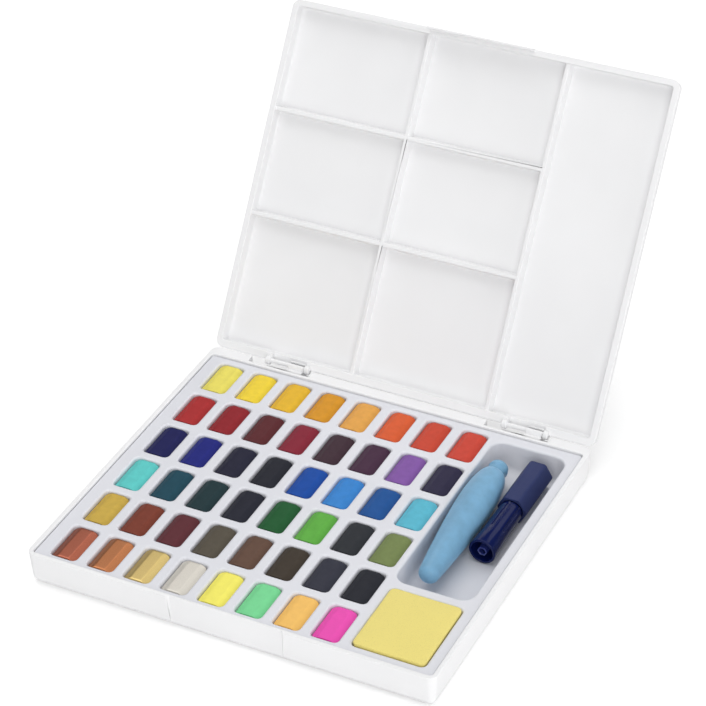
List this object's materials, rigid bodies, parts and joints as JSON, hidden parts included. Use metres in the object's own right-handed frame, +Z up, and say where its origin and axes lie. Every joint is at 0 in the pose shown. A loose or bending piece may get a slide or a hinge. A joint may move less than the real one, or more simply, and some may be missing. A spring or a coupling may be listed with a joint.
{
  "type": "watercolour paint box",
  "caption": "Hinged plastic watercolour box: a tray of paint cakes, a lid with mixing wells, a sponge and a two-piece water brush",
  "frame": {"origin": "middle of the case's flat underside", "axes": "+X to the case's right seen from its front, +Y from the front wall to the hinge, +Z up; the lid is drawn open"},
  "size_m": [0.2, 0.2757, 0.1641],
  "materials": {
    "case_white": "smooth white injection-moulded plastic with a satin gloss",
    "tray_grey": "smooth pale lilac-grey moulded plastic",
    "sponge_yellow": "matte open-cell yellow foam",
    "bottle_blue": "translucent light blue squeeze plastic",
    "cap_navy": "matte navy plastic",
    "section_navy": "glossy navy plastic",
    "feed_navy": "satin navy plastic",
    "bristle_white": "off-white nylon brush hair",
    "paint_lemon_yellow": "dry matte watercolour paint",
    "paint_cadmium_yellow": "dry matte watercolour paint",
    "paint_yellow_deep": "dry matte watercolour paint",
    "paint_indian_yellow": "dry matte watercolour paint",
    "paint_naples_apricot": "dry matte watercolour paint",
    "paint_cadmium_orange": "dry matte watercolour paint",
    "paint_vermilion": "dry matte watercolour paint",
    "paint_scarlet": "dry matte watercolour paint",
    "paint_cadmium_red": "dry matte watercolour paint",
    "paint_crimson": "dry matte watercolour paint",
    "paint_alizarin": "dry matte watercolour paint",
    "paint_carmine": "dry matte watercolour paint",
    "paint_caput_mortuum": "dry matte watercolour paint",
    "paint_purple_lake": "dry matte watercolour paint",
    "paint_violet": "dry matte watercolour paint",
    "paint_dioxazine_violet": "dry matte watercolour paint",
    "paint_indanthrene_blue": "dry matte watercolour paint",
    "paint_ultramarine": "dry matte watercolour paint",
    "paint_indigo": "dry matte watercolour paint",
    "paint_paynes_grey": "dry matte watercolour paint",
    "paint_cobalt_blue": "dry matte watercolour paint",
    "paint_cerulean_blue": "dry matte watercolour paint",
    "paint_phthalo_blue": "dry matte watercolour paint",
    "paint_sky_blue": "dry matte watercolour paint",
    "paint_turquoise": "dry matte watercolour paint",
    "paint_petrol": "dry matte watercolour paint",
    "paint_sea_green": "dry matte watercolour paint",
    "paint_blue_black": "dry matte watercolour paint",
    "paint_hookers_green": "dry matte watercolour paint",
    "paint_may_green": "dry matte watercolour paint",
    "paint_perylene_green": "dry matte watercolour paint",
    "paint_olive_green": "dry matte watercolour paint",
    "paint_yellow_ochre": "dry matte watercolour paint",
    "paint_burnt_sienna": "dry matte watercolour paint",
    "paint_indian_red": "dry matte watercolour paint",
    "paint_raw_umber": "dry matte watercolour paint",
    "paint_burnt_umber": "dry matte watercolour paint",
    "paint_sepia": "dry matte watercolour paint",
    "paint_warm_grey": "dry matte watercolour paint",
    "paint_ivory_black": "dry matte watercolour paint",
    "paint_metallic_copper": "dry watercolour paint with a glittering pearl sheen",
    "paint_metallic_bronze": "dry watercolour paint with a glittering pearl sheen",
    "paint_metallic_gold": "dry watercolour paint with a glittering pearl sheen",
    "paint_metallic_pearl": "dry watercolour paint with a glittering pearl sheen",
    "paint_neon_yellow": "dry matte watercolour paint",
    "paint_neon_green": "dry matte watercolour paint",
    "paint_neon_orange": "dry matte watercolour paint",
    "paint_neon_pink": "dry matte watercolour paint"
  },
  "bodies": {
    "case": {"base_shell": "case_white", "pan_tray": "tray_grey", "paint_lemon_yellow": "paint_lemon_yellow", "paint_cadmium_yellow": "paint_cadmium_yellow", "paint_yellow_deep": "paint_yellow_deep", "paint_indian_yellow": "paint_indian_yellow", "paint_naples_apricot": "paint_naples_apricot", "paint_cadmium_orange": "paint_cadmium_orange", "paint_vermilion": "paint_vermilion", "paint_scarlet": "paint_scarlet", "paint_cadmium_red": "paint_cadmium_red", "paint_crimson": "paint_crimson", "paint_alizarin": "paint_alizarin", "paint_carmine": "paint_carmine", "paint_caput_mortuum": "paint_caput_mortuum", "paint_purple_lake": "paint_purple_lake", "paint_violet": "paint_violet", "paint_dioxazine_violet": "paint_dioxazine_violet", "paint_indanthrene_blue": "paint_indanthrene_blue", "paint_ultramarine": "paint_ultramarine", "paint_indigo": "paint_indigo", "paint_paynes_grey": "paint_paynes_grey", "paint_cobalt_blue": "paint_cobalt_blue", "paint_cerulean_blue": "paint_cerulean_blue", "paint_phthalo_blue": "paint_phthalo_blue", "paint_sky_blue": "paint_sky_blue", "paint_turquoise": "paint_turquoise", "paint_petrol": "paint_petrol", "paint_sea_green": "paint_sea_green", "paint_blue_black": "paint_blue_black", "paint_hookers_green": "paint_hookers_green", "paint_may_green": "paint_may_green", "paint_perylene_green": "paint_perylene_green", "paint_olive_green": "paint_olive_green", "paint_yellow_ochre": "paint_yellow_ochre", "paint_burnt_sienna": "paint_burnt_sienna", "paint_indian_red": "paint_indian_red", "paint_raw_umber": "paint_raw_umber", "paint_burnt_umber": "paint_burnt_umber", "paint_sepia": "paint_sepia", "paint_warm_grey": "paint_warm_grey", "paint_ivory_black": "paint_ivory_black", "paint_metallic_copper": "paint_metallic_copper", "paint_metallic_bronze": "paint_metallic_bronze", "paint_metallic_gold": "paint_metallic_gold", "paint_metallic_pearl": "paint_metallic_pearl", "paint_neon_yellow": "paint_neon_yellow", "paint_neon_green": "paint_neon_green", "paint_neon_orange": "paint_neon_orange", "paint_neon_pink": "paint_neon_pink"},
    "lid": {"lid_shell": "case_white"},
    "sponge_block": {"sponge": "sponge_yellow"},
    "reservoir": {"reservoir_bottle": "bottle_blue"},
    "cap": {"brush_cap": "cap_navy"},
    "brush_head": {"brush_section": "section_navy", "brush_feed": "feed_navy", "brush_bristles": "bristle_white"}
  },
  "joints": [
    {"name": "lid_hinge", "type": "hinge", "parent": "case", "child": "lid", "pos_m": [0, 0.08675, 0.01725], "axis": [-1, 0, 0], "range_deg": [-124, 0]},
    {"name": "sponge_lift", "type": "slide", "parent": "case", "child": "sponge_block", "axis": [0, 0, 1], "range_m": [0, 0.03]},
    {"name": "reservoir_lift", "type": "slide", "parent": "case", "child": "reservoir", "axis": [0, 0, 1], "range_m": [0, 0.03]},
    {"name": "brush_lift", "type": "slide", "parent": "case", "child": "cap", "axis": [0, 0, 1], "range_m": [0, 0.04]},
    {"name": "brush_pull", "type": "slide", "parent": "cap", "child": "brush_head", "axis": [-0.0105, -0.9999, 0], "range_m": [0, 0.03]}
  ]
}
